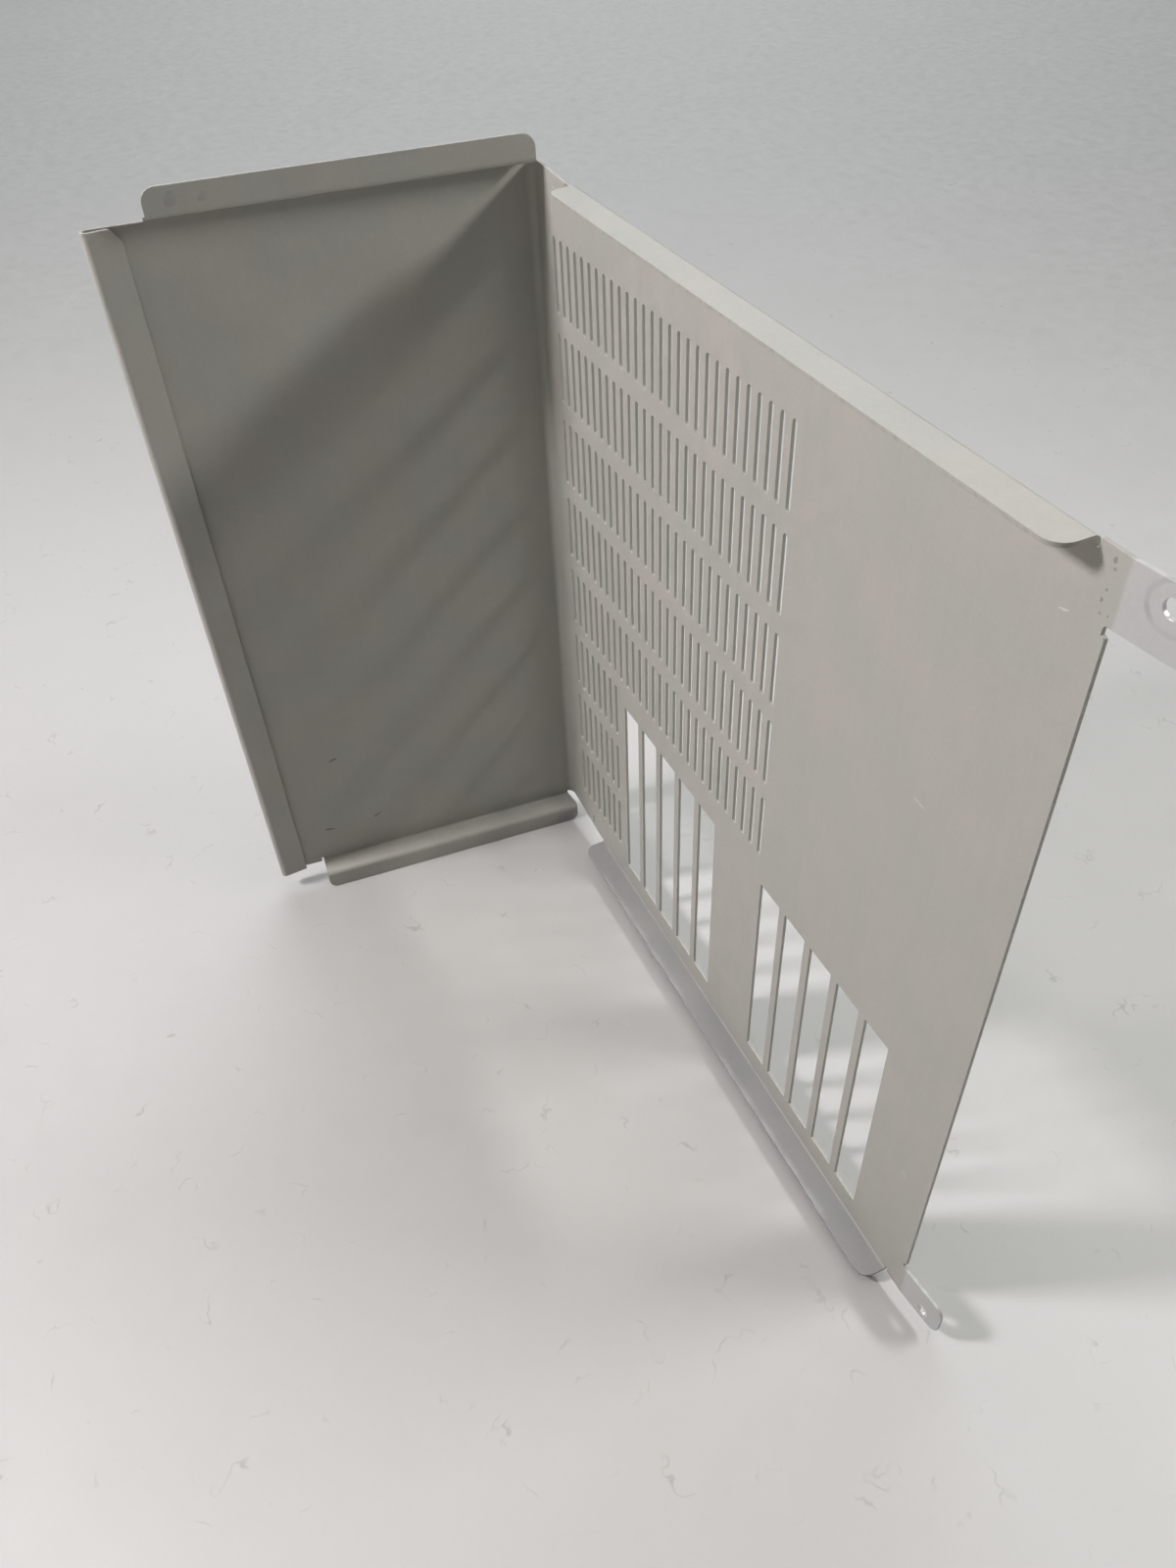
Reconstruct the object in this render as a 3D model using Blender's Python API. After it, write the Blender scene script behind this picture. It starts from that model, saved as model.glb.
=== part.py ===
"""Folded sheet-steel equipment cover: a plain wing and a vented panel on one vertical corner.

The real cover is one blank, folded. It is modelled as the flat fields and the folded strips
between its bend lines. Each is a closed solid of the sheet's real thickness, with a hairline
gap at the bend line. Every solid is an outline drawn on the flat blank, in (s, t), that is
carried round its folds: s runs along the bend lines and t runs across them.
Metres, +Z up. The vented panel lies along Y, and the wing runs towards -X.
"""
import math

import bmesh
import bpy
import numpy as np
from mathutils import Vector
from mathutils.geometry import delaunay_2d_cdt

MM = 0.001

# Sheet
SHEET = 1.2 * MM
GAP = 0.3 * MM
TIGHT_RADIUS = 1.6 * MM        # middle of the sheet, at flanges, ledges and lips
CORNER_RADIUS = 3.6 * MM       # middle of the sheet, at the main corner
CORNER_ANGLE = math.radians(94.9)
ARC_STEP = math.radians(15.0)

# Heights above the surface that the cover stands on
LIP_HEIGHT = 10.0 * MM         # end of a lip to the far face of its ledge
WING_BASE = LIP_HEIGHT - SHEET / 2.0    # middle of the lower ledge
WING_CROWN = 321.4 * MM        # middle of the upper ledge
WING_EDGE_LOW = 9.4 * MM       # cut edges of the wing beside the ledges
WING_EDGE_HIGH = 318.0 * MM
VENT_BASE = 5.4 * MM           # middle of the vented panel's lower flange
VENT_CROWN = 319.4 * MM        # middle of its upper flange
CORNER_LOW = 10.0 * MM
CORNER_HIGH = 320.0 * MM

# Wing, measured from the corner of the inner faces
WING_WIDTH = 155.9 * MM
LEDGE_NEAR = 3.3 * MM          # the ledges' end beside the corner, at the wing
LIP_NEAR = 1.5 * MM            # the same end, at the lips
LEDGE_FAR = 134.2 * MM
LEDGE_DEPTH = 10.5 * MM        # between the sheet's middles
LIP_RADIUS_HIGH = 5.0 * MM
LIP_RADIUS_LOW = 4.0 * MM
HEM_WIDTH = 12.5 * MM
HEM_RADIUS = 1.85 * MM
HEM_CLOSING = math.radians(9.0)
HEM_CHAMFER_ALONG = 4.4 * MM
HEM_CHAMFER_ACROSS = 3.0 * MM
HEM_CORNER_RADIUS = 2.0 * MM

# Vented panel, measured from the corner of the inner faces
VENT_WIDTH = 293.3 * MM
FLANGE_NEAR = 37.0 * MM
FLANGE_FAR = 284.8 * MM
FLANGE_DEPTH = 11.5 * MM
FLANGE_RADIUS = 5.0 * MM
SLOT_WIDTH = 2.4 * MM
SLOT_LENGTH = 28.0 * MM
SLOT_FIRST = 16.2 * MM
SLOT_PITCH = 6.0 * MM
ROW_PITCH = 35.0 * MM
ROW_TOP = 283.7 * MM           # centre of the top row
SLOT_COLUMNS = 28
FULL_ROWS = 5
SHORT_ROWS = 3
SHORT_COLUMNS = 8
SLOT_END_STEPS = 4
WINDOW_STARTS = (66.7 * MM, 181.4 * MM)
WINDOW_LOW = 16.8 * MM
WINDOW_HIGH = 116.6 * MM
WINDOW_OPENING = 13.0 * MM
WINDOW_BAR = 3.75 * MM
WINDOW_OPENINGS = 5
PILOT_SLOT = (26.0 * MM, 12.0 * MM, 1.5 * MM, 5.0 * MM)   # place, height, width, length

# Tabs on the vented panel's free edge
TAB_LENGTH = 19.4 * MM
TAB_HEIGHT = 16.5 * MM
TAB_RADIUS = 5.0 * MM
TAB_TOP = 319.7 * MM
TAB_BOTTOM = 5.2 * MM
TAB_LEAN = math.radians(6.0)   # outwards, past a crease at the panel's free edge
TAB_ROOT = 0.8 * MM
TAB_CREASE_RADIUS = 3.0 * MM
HOLE_RADIUS = 2.25 * MM
HOLE_ALONG = 11.6 * MM
HOLE_FROM_END = 5.2 * MM       # to the cover's top or bottom
HOLE_STEPS = 20
RELIEF = 2.5 * MM

# Directions
UP = Vector((0.0, 0.0, 1.0))
ALONG_VENT = Vector((0.0, -1.0, 0.0))
VENT_OUT = Vector((1.0, 0.0, 0.0))
ALONG_WING = Vector((-math.sin(CORNER_ANGLE), -math.cos(CORNER_ANGLE), 0.0))
WING_OUT = Vector((-math.cos(CORNER_ANGLE), math.sin(CORNER_ANGLE), 0.0))
CORNER_SETBACK = (CORNER_RADIUS - SHEET / 2.0) / math.tan(CORNER_ANGLE / 2.0)

PAINT_LIGHT = (0.42, 0.39, 0.36, 1.0)
PAINT_SHADE = (0.40, 0.38, 0.35, 1.0)


def clear_scene():
    for item in list(bpy.data.objects):
        bpy.data.objects.remove(item, do_unlink=True)


def paint(name, colour):
    material = bpy.data.materials.new(name)
    material.use_nodes = True
    shader = material.node_tree.nodes["Principled BSDF"]
    shader.inputs["Base Color"].default_value = colour
    shader.inputs["Roughness"].default_value = 0.55
    shader.inputs["Metallic"].default_value = 0.0
    return material


# Folds ---------------------------------------------------------------------------------

def straight(length):
    return (length, 0.0)


def bend(radius, angle):
    """A rolled bend. A negative angle turns away from the outer face."""
    return (radius * abs(angle), angle)


class Fold:
    """Carries the flat blank round its bends, from a start point on the sheet's middle."""

    def __init__(self, start, along, across, out, segments=()):
        self.start = start
        self.along = along
        self.across = across
        self.out = out
        self.segments = list(segments)

    def lines(self):
        """The values of t at which the blank is creased, to follow the bends."""
        found = []
        begin = 0.0
        for length, angle in self.segments:
            if angle:
                steps = max(2, math.ceil(abs(angle) / ARC_STEP))
                found += [begin + length * i / steps for i in range(steps + 1)]
            begin += length
        return found

    def section(self, t):
        """Place across the blank, place outwards and heading, at t."""
        across = 0.0
        outward = 0.0
        heading = 0.0
        left = t
        for length, angle in self.segments:
            step = min(left, length)
            if angle:
                radius = length / angle
                turned = heading + step / radius
                across += radius * (math.sin(turned) - math.sin(heading))
                outward += radius * (math.cos(heading) - math.cos(turned))
                heading = turned
            else:
                across += step * math.cos(heading)
                outward += step * math.sin(heading)
            left -= step
            if left <= 0.0:
                return across, outward, heading
        across += left * math.cos(heading)
        outward += left * math.sin(heading)
        return across, outward, heading

    def place(self, s, t, offset):
        """The point at (s, t) on the blank, offset outwards from the sheet's middle."""
        across, outward, heading = self.section(t)
        across -= offset * math.sin(heading)
        outward += offset * math.cos(heading)
        return self.start + self.along * s + self.across * across + self.out * outward


# Outlines on the flat blank -------------------------------------------------------------

def rounded(corners):
    """A closed outline from (s, t, radius) corners, with true arcs where radius > 0."""
    points = []
    count = len(corners)
    for i, (s, t, radius) in enumerate(corners):
        here = Vector((s, t))
        if radius <= 0.0:
            points.append(here)
            continue
        before = (Vector(corners[i - 1][:2]) - here).normalized()
        after = (Vector(corners[(i + 1) % count][:2]) - here).normalized()
        half = before.angle(after) / 2.0
        centre = here + (before + after).normalized() * (radius / math.sin(half))
        first = here + before * (radius / math.tan(half)) - centre
        last = here + after * (radius / math.tan(half)) - centre
        sweep = first.angle_signed(last)
        steps = max(2, math.ceil(abs(sweep) / ARC_STEP))
        for k in range(steps + 1):
            turn = -sweep * k / steps
            cosine = math.cos(turn)
            sine = math.sin(turn)
            points.append(centre + Vector((first.x * cosine - first.y * sine,
                                           first.x * sine + first.y * cosine)))
    return points


def rectangle(s0, t0, s1, t1):
    return [Vector((s0, t0)), Vector((s1, t0)), Vector((s1, t1)), Vector((s0, t1))]


def obround(s, t, width, length, steps):
    """A slot with round ends, its length along t."""
    radius = width / 2.0
    reach = length / 2.0 - radius
    points = []
    for side, first in ((1.0, 0.0), (-1.0, math.pi)):
        for k in range(steps + 1):
            turn = first + math.pi * k / steps
            points.append(Vector((s + radius * math.cos(turn),
                                  t + side * reach + radius * math.sin(turn))))
    return points


def circle(s, t, radius, steps):
    turns = [2.0 * math.pi * k / steps for k in range(steps)]
    return [Vector((s + radius * math.cos(a), t + radius * math.sin(a))) for a in turns]


# Solids --------------------------------------------------------------------------------

def crossings(points, loops):
    """For each point, the number of outline edges that a ray from it crosses."""
    total = np.zeros(len(points), dtype=int)
    for loop in loops:
        a = np.array([tuple(p) for p in loop])
        b = np.roll(a, -1, axis=0)
        low = np.minimum(a[:, 1], b[:, 1])
        high = np.maximum(a[:, 1], b[:, 1])
        for x0, y0, x1, y1, lo, hi in zip(a[:, 0], a[:, 1], b[:, 0], b[:, 1], low, high):
            if lo == hi:
                continue
            level = (points[:, 1] >= lo) & (points[:, 1] < hi)
            cut = x0 + (points[:, 1] - y0) * (x1 - x0) / (y1 - y0)
            total += (level & (cut > points[:, 0])).astype(int)
    return total


def triangulate(loops, lines):
    """Triangles of the area inside the first loop and outside the others."""
    points = []
    edges = []
    for loop in loops:
        base = len(points)
        points += loop
        edges += [(base + i, base + (i + 1) % len(loop)) for i in range(len(loop))]
    low = min(p.x for p in loops[0])
    high = max(p.x for p in loops[0])
    bottom = min(p.y for p in loops[0])
    top = max(p.y for p in loops[0])
    for t in lines:
        if bottom + 1e-7 < t < top - 1e-7:
            edges.append((len(points), len(points) + 1))
            points += [Vector((low - MM, t)), Vector((high + MM, t))]
    coords, _, faces, *_ = delaunay_2d_cdt(points, edges, [], 0, 1e-9)
    flat = np.array([tuple(p) for p in coords])
    centres = np.array([flat[list(face)].mean(axis=0) for face in faces])
    inside = crossings(centres, loops) % 2 == 1
    return coords, [tuple(face) for face, keep in zip(faces, inside) if keep]


def sheet_solid(name, fold, loops, colour):
    """One closed solid of the sheet's thickness, with sharp edges kept and bends smooth."""
    coords, faces = triangulate(loops, fold.lines())
    used = sorted({i for face in faces for i in face})
    mesh = bmesh.new()
    outer = {i: mesh.verts.new(fold.place(*coords[i], SHEET / 2.0)) for i in used}
    inner = {i: mesh.verts.new(fold.place(*coords[i], -SHEET / 2.0)) for i in used}
    borders = {}
    for face in faces:
        mesh.faces.new([outer[i] for i in face])
        mesh.faces.new([inner[i] for i in reversed(face)])
        for a, b in zip(face, face[1:] + face[:1]):
            if (b, a) in borders:
                del borders[(b, a)]
            else:
                borders[(a, b)] = True
    for a, b in borders:
        mesh.faces.new([outer[b], outer[a], inner[a], inner[b]])
    bmesh.ops.recalc_face_normals(mesh, faces=mesh.faces)
    data = bpy.data.meshes.new(name)
    mesh.to_mesh(data)
    mesh.free()
    data.shade_smooth()
    data.set_sharp_from_angle(angle=math.radians(30.0))
    data.materials.append(paint(name + "_paint", colour))
    item = bpy.data.objects.new(name, data)
    bpy.context.scene.collection.objects.link(item)
    return item


def fold_on_vent(across, height, segments=()):
    start = VENT_OUT * (SHEET / 2.0) + UP * height
    return Fold(start, ALONG_VENT, across, VENT_OUT, segments)


def fold_on_wing(across, height, segments=()):
    start = WING_OUT * (SHEET / 2.0) + UP * height
    return Fold(start, ALONG_WING, across, WING_OUT, segments)


# Vented panel --------------------------------------------------------------------------

def slot_loops():
    loops = []
    for row in range(FULL_ROWS + SHORT_ROWS):
        columns = SLOT_COLUMNS if row < FULL_ROWS else SHORT_COLUMNS
        height = ROW_TOP - row * ROW_PITCH
        for column in range(columns):
            place = SLOT_FIRST + column * SLOT_PITCH
            loops.append(obround(place, height, SLOT_WIDTH, SLOT_LENGTH, SLOT_END_STEPS))
    loops.append(obround(*PILOT_SLOT, SLOT_END_STEPS))
    return loops


def window_loops():
    loops = []
    for start in WINDOW_STARTS:
        for i in range(WINDOW_OPENINGS):
            left = start + i * (WINDOW_OPENING + WINDOW_BAR)
            loops.append(rectangle(left, WINDOW_LOW, left + WINDOW_OPENING, WINDOW_HIGH))
    return loops


def vent_outline():
    """The flat field, with tapered cut edges beside the corner and reliefs at the tabs."""
    near = CORNER_SETBACK + GAP
    low = VENT_BASE + TIGHT_RADIUS
    high = VENT_CROWN - TIGHT_RADIUS
    cut_low = VENT_BASE + SHEET
    cut_high = VENT_CROWN - SHEET
    tab_low = TAB_BOTTOM + TAB_HEIGHT
    tab_high = TAB_TOP - TAB_HEIGHT
    corners = [
        (near, CORNER_LOW, 0.0),
        (FLANGE_NEAR - GAP, cut_low, 0.0),
        (FLANGE_NEAR - GAP, low + GAP, 0.0),
        (FLANGE_FAR + GAP, low + GAP, 0.0),
        (FLANGE_FAR + GAP, cut_low, 0.0),
        (VENT_WIDTH, cut_low, 0.0),
        (VENT_WIDTH, tab_low, 0.0),
        (VENT_WIDTH - SHEET, tab_low, 0.0),
        (VENT_WIDTH - SHEET, tab_low + RELIEF, 0.0),
        (VENT_WIDTH, tab_low + RELIEF, 0.0),
        (VENT_WIDTH, tab_high - RELIEF, 0.0),
        (VENT_WIDTH - SHEET, tab_high - RELIEF, 0.0),
        (VENT_WIDTH - SHEET, tab_high, 0.0),
        (VENT_WIDTH, tab_high, 0.0),
        (VENT_WIDTH, cut_high, 0.0),
        (FLANGE_FAR + GAP, cut_high, 0.0),
        (FLANGE_FAR + GAP, high - GAP, 0.0),
        (FLANGE_NEAR - GAP, high - GAP, 0.0),
        (FLANGE_NEAR - GAP, cut_high, 0.0),
        (near, CORNER_HIGH, 0.0),
    ]
    return rounded(corners)


def vent_panel():
    loops = [vent_outline()] + slot_loops() + window_loops()
    sheet_solid("vent_panel", fold_on_vent(UP, 0.0), loops, PAINT_LIGHT)


def vent_flange(name, across, height):
    """A flange turned inwards over the corner's inside, its free corners rounded."""
    turn = bend(TIGHT_RADIUS, -math.pi / 2.0)
    end = turn[0] + FLANGE_DEPTH - SHEET / 2.0 - TIGHT_RADIUS
    outline = rounded([
        (FLANGE_NEAR, 0.0, 0.0),
        (FLANGE_NEAR, end, FLANGE_RADIUS),
        (FLANGE_FAR, end, FLANGE_RADIUS),
        (FLANGE_FAR, 0.0, 0.0),
    ])
    sheet_solid(name, fold_on_vent(across, height, [turn]), [outline], PAINT_LIGHT)


def tab(name, low, hole_height):
    """A screw tab that leans outwards past the panel's free edge."""
    segments = [straight(TAB_ROOT), bend(TAB_CREASE_RADIUS, TAB_LEAN)]
    start = VENT_OUT * (SHEET / 2.0) + ALONG_VENT * VENT_WIDTH
    fold = Fold(start, UP, ALONG_VENT, VENT_OUT, segments)
    outline = rounded([
        (low, GAP, 0.0),
        (low, TAB_LENGTH, TAB_RADIUS),
        (low + TAB_HEIGHT, TAB_LENGTH, TAB_RADIUS),
        (low + TAB_HEIGHT, GAP, 0.0),
    ])
    hole = circle(hole_height, HOLE_ALONG, HOLE_RADIUS, HOLE_STEPS)
    sheet_solid(name, fold, [outline, hole], PAINT_LIGHT)


# Corner and wing -----------------------------------------------------------------------

def corner_bend():
    start = VENT_OUT * (SHEET / 2.0) + ALONG_VENT * CORNER_SETBACK
    turn = bend(CORNER_RADIUS, CORNER_ANGLE - math.pi)
    fold = Fold(start, UP, -ALONG_VENT, VENT_OUT, [turn])
    outline = rectangle(CORNER_LOW, 0.0, CORNER_HIGH, turn[0])
    sheet_solid("corner_bend", fold, [outline], PAINT_LIGHT)


def wing_panel():
    near = CORNER_SETBACK + GAP
    far = WING_WIDTH - HEM_RADIUS - SHEET / 2.0 - GAP
    low = WING_BASE + TIGHT_RADIUS + GAP
    high = WING_CROWN - TIGHT_RADIUS - GAP
    corners = [
        (near, low, 0.0),
        (LEDGE_FAR + GAP, low, 0.0),
        (LEDGE_FAR + GAP, WING_EDGE_LOW, 0.0),
        (far, WING_EDGE_LOW, 0.0),
        (far, WING_EDGE_HIGH, 0.0),
        (LEDGE_FAR + GAP, WING_EDGE_HIGH, 0.0),
        (LEDGE_FAR + GAP, high, 0.0),
        (near, high, 0.0),
    ]
    sheet_solid("wing_panel", fold_on_wing(UP, 0.0), [rounded(corners)], PAINT_SHADE)


def wing_edge(prefix, across, height, lip_radius):
    """A ledge turned inwards from the wing, and the upright lip on the ledge's free side."""
    turn = bend(TIGHT_RADIUS, -math.pi / 2.0)
    back = bend(TIGHT_RADIUS, math.pi / 2.0)
    level = straight(LEDGE_DEPTH - 2.0 * TIGHT_RADIUS)
    fold = fold_on_wing(across, height, [turn, level, back])
    joint = turn[0] + level[0]
    end = joint + back[0] + LIP_HEIGHT - SHEET / 2.0 - TIGHT_RADIUS
    ledge = rounded([
        (LEDGE_NEAR, 0.0, 0.0),
        (LIP_NEAR, joint - GAP / 2.0, 0.0),
        (LEDGE_FAR, joint - GAP / 2.0, 0.0),
        (LEDGE_FAR, 0.0, 0.0),
    ])
    lip = rounded([
        (LIP_NEAR, joint + GAP / 2.0, 0.0),
        (LIP_NEAR, end, lip_radius),
        (LEDGE_FAR, end, lip_radius),
        (LEDGE_FAR, joint + GAP / 2.0, 0.0),
    ])
    sheet_solid(prefix + "_ledge", fold, [ledge], PAINT_SHADE)
    sheet_solid(prefix + "_lip", fold, [lip], PAINT_SHADE)


def wing_hem():
    """An open hem: a rolled fold and a strip that leans back towards the wing."""
    begin = WING_WIDTH - HEM_RADIUS - SHEET / 2.0
    roll = bend(HEM_RADIUS, -(math.pi + HEM_CLOSING))
    start = WING_OUT * (SHEET / 2.0) + ALONG_WING * begin
    fold = Fold(start, UP, ALONG_WING, WING_OUT, [roll])
    reach = fold.section(roll[0])[0] + HEM_WIDTH - HEM_RADIUS - SHEET / 2.0
    end = roll[0] + reach / math.cos(HEM_CLOSING)
    outline = rounded([
        (WING_EDGE_LOW, 0.0, 0.0),
        (WING_EDGE_HIGH, 0.0, 0.0),
        (WING_EDGE_HIGH, end - HEM_CHAMFER_ACROSS, HEM_CORNER_RADIUS),
        (WING_EDGE_HIGH - HEM_CHAMFER_ALONG, end, HEM_CORNER_RADIUS),
        (WING_EDGE_LOW, end, 0.0),
    ])
    sheet_solid("wing_hem", fold, [outline], PAINT_SHADE)


def centre_on_base():
    """Moves every mesh so that the origin is the bottom centre of the whole cover."""
    items = [item for item in bpy.context.scene.objects if item.type == "MESH"]
    points = np.array([tuple(v.co) for item in items for v in item.data.vertices])
    low = points.min(axis=0)
    high = points.max(axis=0)
    middle = (low + high) / 2.0
    shift = Vector((-middle[0], -middle[1], -low[2]))
    for item in items:
        for vertex in item.data.vertices:
            vertex.co += shift


def main():
    clear_scene()
    vent_panel()
    vent_flange("vent_top_flange", UP, VENT_CROWN - TIGHT_RADIUS)
    vent_flange("vent_bottom_flange", -UP, VENT_BASE + TIGHT_RADIUS)
    tab("top_tab", TAB_TOP - TAB_HEIGHT, TAB_TOP - HOLE_FROM_END)
    tab("bottom_tab", TAB_BOTTOM, TAB_BOTTOM + HOLE_FROM_END)
    corner_bend()
    wing_panel()
    wing_edge("wing_top", UP, WING_CROWN - TIGHT_RADIUS, LIP_RADIUS_HIGH)
    wing_edge("wing_bottom", -UP, WING_BASE + TIGHT_RADIUS, LIP_RADIUS_LOW)
    wing_hem()
    centre_on_base()


main()
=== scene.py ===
"""Folded, painted steel equipment cover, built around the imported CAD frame.

The CAD splits the folded blank at its bend lines. Here each of those nodes is replaced by the
same strip of sheet, drawn finely: true bends, punched openings with softened edges, and no
hairline between neighbours. A strip is an outline on the flat blank, in (s, t), that is carried
round its folds; s runs along the bend lines and t runs across them.
"""
import math

import bpy
import numpy as np
from mathutils import Matrix, Vector
from mathutils.geometry import delaunay_2d_cdt


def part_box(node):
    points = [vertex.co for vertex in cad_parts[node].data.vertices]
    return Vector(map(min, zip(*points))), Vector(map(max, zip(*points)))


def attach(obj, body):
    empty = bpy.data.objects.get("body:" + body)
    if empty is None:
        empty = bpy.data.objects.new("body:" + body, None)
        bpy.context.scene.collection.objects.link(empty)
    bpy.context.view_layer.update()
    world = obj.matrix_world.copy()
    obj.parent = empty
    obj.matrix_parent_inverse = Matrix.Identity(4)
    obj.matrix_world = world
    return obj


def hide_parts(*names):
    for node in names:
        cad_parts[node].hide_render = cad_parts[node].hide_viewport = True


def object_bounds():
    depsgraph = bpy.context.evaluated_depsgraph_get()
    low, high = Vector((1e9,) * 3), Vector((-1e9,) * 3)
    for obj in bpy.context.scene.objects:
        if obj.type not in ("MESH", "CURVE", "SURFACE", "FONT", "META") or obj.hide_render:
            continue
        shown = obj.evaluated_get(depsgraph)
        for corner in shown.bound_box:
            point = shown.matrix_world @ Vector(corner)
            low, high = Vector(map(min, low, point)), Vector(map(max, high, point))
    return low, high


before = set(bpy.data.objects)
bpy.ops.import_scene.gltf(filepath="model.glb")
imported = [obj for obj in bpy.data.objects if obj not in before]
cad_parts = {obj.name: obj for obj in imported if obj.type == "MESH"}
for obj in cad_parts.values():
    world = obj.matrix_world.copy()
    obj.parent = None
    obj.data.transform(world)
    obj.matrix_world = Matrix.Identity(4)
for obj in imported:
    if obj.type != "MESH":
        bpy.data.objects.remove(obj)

CAD_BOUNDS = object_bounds()
MM = 0.001

# Sheet and folds, as in the CAD
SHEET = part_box("vent_panel")[1].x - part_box("vent_panel")[0].x
HALF = SHEET / 2.0
GAP = 0.3 * MM                 # the CAD's hairline at a bend line
TIGHT_RADIUS = 1.6 * MM
CORNER_RADIUS = 3.6 * MM
CORNER_ANGLE = math.radians(94.9)
CORNER_SETBACK = (CORNER_RADIUS - HALF) / math.tan(CORNER_ANGLE / 2.0)   # to the bend line
RIGHT_ANGLE = math.pi / 2.0

# Heights
LIP_HEIGHT = 10.0 * MM
WING_BASE = LIP_HEIGHT - HALF
WING_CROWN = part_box("wing_top_ledge")[1].z - HALF
WING_EDGE_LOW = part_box("wing_hem")[0].z
WING_EDGE_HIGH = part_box("wing_hem")[1].z
VENT_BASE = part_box("vent_bottom_flange")[0].z + HALF
VENT_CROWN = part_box("vent_top_flange")[1].z - HALF
CORNER_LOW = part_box("corner_bend")[0].z
CORNER_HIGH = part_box("corner_bend")[1].z

# Wing, from the corner of the inner faces
WING_WIDTH = 155.9 * MM
LEDGE_NEAR = 3.3 * MM
LIP_NEAR = 1.5 * MM
LEDGE_FAR = 134.2 * MM
LEDGE_DEPTH = 10.5 * MM
LIP_RADIUS_HIGH = 5.0 * MM
LIP_RADIUS_LOW = 4.0 * MM
HEM_WIDTH = 12.5 * MM
HEM_RADIUS = 1.85 * MM
HEM_CLOSING = math.radians(9.0)
HEM_CHAMFER_ALONG = 4.4 * MM
HEM_CHAMFER_ACROSS = 3.0 * MM
HEM_CORNER_RADIUS = 2.0 * MM
HEM_START = WING_WIDTH - HEM_RADIUS - HALF

# Vented panel, from the corner of the inner faces
CORNER_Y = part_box("vent_panel")[1].y + CORNER_SETBACK + GAP
VENT_WIDTH = CORNER_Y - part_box("vent_panel")[0].y
FLANGE_NEAR = CORNER_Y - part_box("vent_top_flange")[1].y
FLANGE_FAR = CORNER_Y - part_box("vent_top_flange")[0].y
FLANGE_DEPTH = 11.5 * MM
FLANGE_RADIUS = 5.0 * MM
SLOT_WIDTH = 2.4 * MM
SLOT_LENGTH = 28.0 * MM
SLOT_FIRST = 16.2 * MM
SLOT_PITCH = 6.0 * MM
ROW_PITCH = 35.0 * MM
ROW_TOP = 283.7 * MM
SLOT_COLUMNS = 28
FULL_ROWS = 5
SHORT_ROWS = 3
SHORT_COLUMNS = 8
WINDOW_STARTS = (66.7 * MM, 181.4 * MM)
WINDOW_LOW = 16.8 * MM
WINDOW_HIGH = 116.6 * MM
WINDOW_OPENING = 13.0 * MM
WINDOW_BAR = 3.75 * MM
WINDOW_OPENINGS = 5
WINDOW_CORNER = 0.5 * MM
PILOT_SLOT = (26.0 * MM, 12.0 * MM, 1.5 * MM, 5.0 * MM)    # place, height, width, length

# Tabs
TAB_LENGTH = 19.4 * MM
TAB_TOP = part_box("top_tab")[1].z
TAB_HEIGHT = TAB_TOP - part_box("top_tab")[0].z
TAB_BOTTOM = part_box("bottom_tab")[0].z
TAB_RADIUS = 5.0 * MM
TAB_LEAN = math.radians(6.0)
TAB_ROOT = 0.8 * MM            # from the free edge to a tab's crease
TAB_CREASE_RADIUS = 3.0 * MM
HOLE_RADIUS = 2.25 * MM
HOLE_ALONG = 11.6 * MM
HOLE_FROM_END = 5.2 * MM
RELIEF = 2.5 * MM              # height of the notch beside a tab
RELIEF_RADIUS = 1.0 * MM       # of its outer corners
RELIEF_CREASE = 0.1 * MM       # of its inner one

# Fineness
EDGE_ROUND = 0.16 * MM         # softened edge of every cut
EDGE_STEPS = 2
ROUND_TURN = 0.6               # radians; a sharper corner keeps its edge
ARC_STEP = math.radians(6.0)
GRID = 9.0 * MM
CLEARANCE = 1.6 * MM           # between a grid point and an edge
NOTCH_WIDTH = 0.9 * MM         # bend reliefs
NOTCH_DEPTH = 0.6 * MM
TAB_SEAM = 0.4 * MM            # from the free edge to where a tab's strip begins
SAME = 1e-7                    # two places closer than this are one
MERGE = 1e-8                   # the same for the triangulation
STRAIGHT = 1e-6                # sine of a turn too slight to be a corner

# Directions, and the corner of the inner faces on the floor
UP = Vector((0.0, 0.0, 1.0))
ALONG_VENT = Vector((0.0, -1.0, 0.0))
VENT_OUT = Vector((1.0, 0.0, 0.0))
ALONG_WING = Vector((-math.sin(CORNER_ANGLE), -math.cos(CORNER_ANGLE), 0.0))
WING_OUT = Vector((-math.cos(CORNER_ANGLE), math.sin(CORNER_ANGLE), 0.0))
CORNER = Vector((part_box("vent_panel")[0].x, CORNER_Y, CAD_BOUNDS[0].z))


# Folds --------

def straight(length):
    return (length, 0.0)


def bend(radius, angle):
    """A rolled bend. A negative angle turns away from the outer face."""
    return (radius * abs(angle), angle)


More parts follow.
